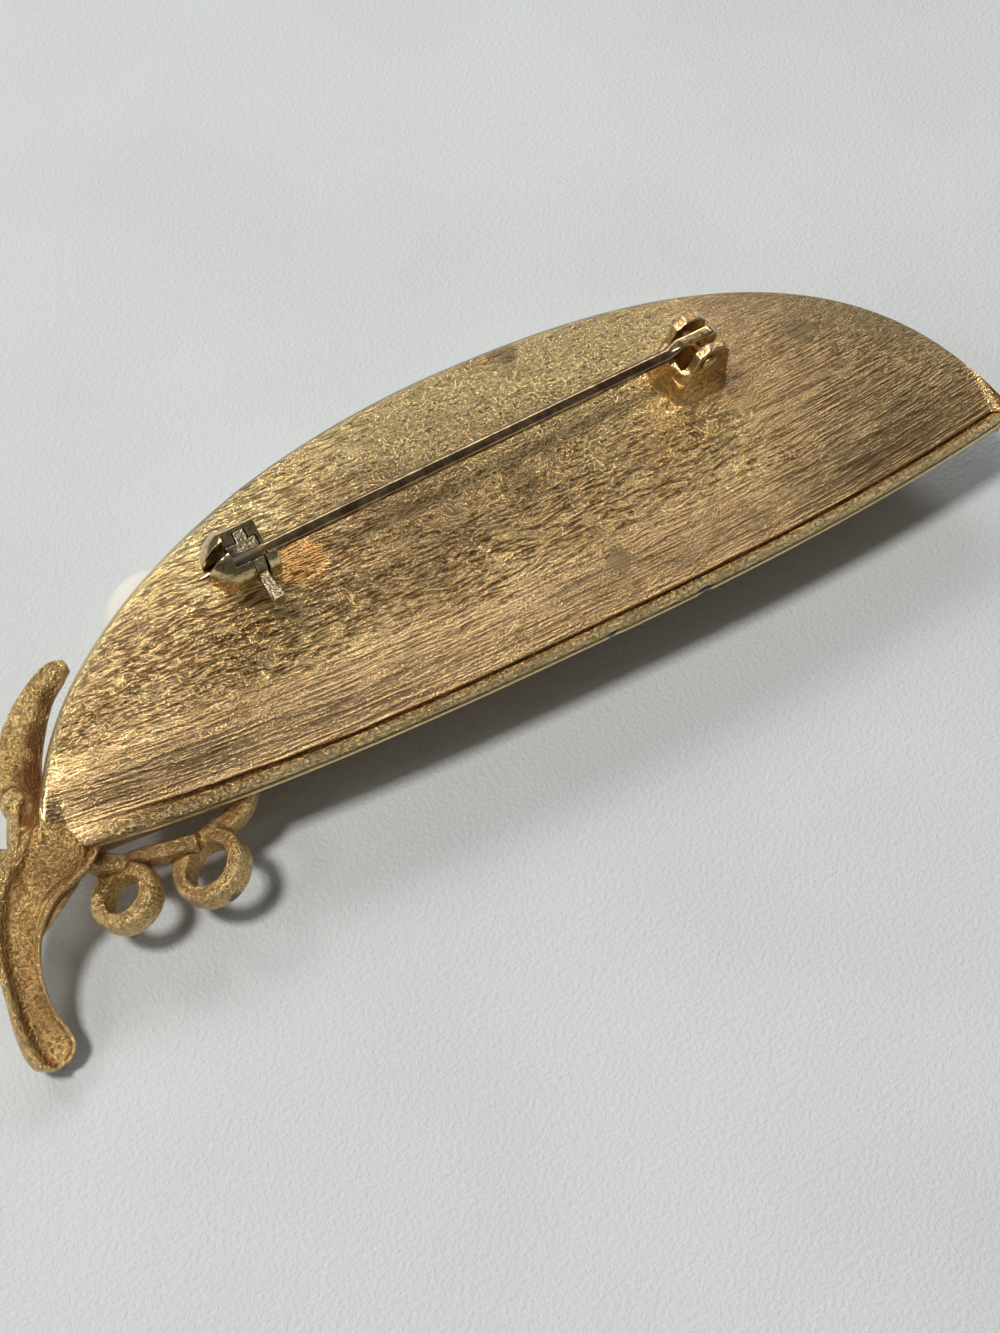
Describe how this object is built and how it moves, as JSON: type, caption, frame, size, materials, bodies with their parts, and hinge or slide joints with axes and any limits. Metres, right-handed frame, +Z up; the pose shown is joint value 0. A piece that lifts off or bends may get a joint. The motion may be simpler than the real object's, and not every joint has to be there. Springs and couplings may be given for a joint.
{
  "type": "pea pod brooch",
  "caption": "Pea pod brooch with a row of pearl peas between two cast valves, a stem with sepals and a curled tendril, and a hinged pin with a safety catch on its back.",
  "frame": {"origin": "on the table, below the middle of the brooch's bounding box, with the brooch lying face down", "axes": "+X along the pin from its point and the stem to its hinge and the pod's tip, +Y from the pod's straight edge to its arched edge, +Z up out of the back"},
  "size_m": [0.0716, 0.028, 0.0138],
  "materials": {
    "gold_plate": "gold plate over a cast and brushed alloy, worn grey on high spots",
    "rivet_metal": "dull, darkened gold plate",
    "pin_metal": "smooth drawn wire with worn gold plate",
    "catch_metal": "gold plate worn to grey metal",
    "pearl": "lacquered imitation pearl, glossy with a soft sheen"
  },
  "bodies": {
    "brooch": {"pod": "gold_plate", "hinge_rivet": "rivet_metal", "pearl_1": "pearl", "pearl_2": "pearl", "pearl_3": "pearl", "pearl_4": "pearl", "pearl_5": "pearl", "pearl_6": "pearl"},
    "pin": {"pin_stem": "pin_metal"},
    "rotor": {"catch_rotor": "catch_metal"}
  },
  "joints": [
    {"name": "pin_hinge", "type": "hinge", "parent": "brooch", "child": "pin", "pos_m": [0.01888, 0.00442, 0.0118], "axis": [0, 1, 0], "range_deg": [0, 95]},
    {"name": "catch_turn", "type": "hinge", "parent": "brooch", "child": "rotor", "pos_m": [-0.01175, 0.00462, 0.0119], "axis": [-1, 0, 0], "range_deg": [0, 90]}
  ]
}
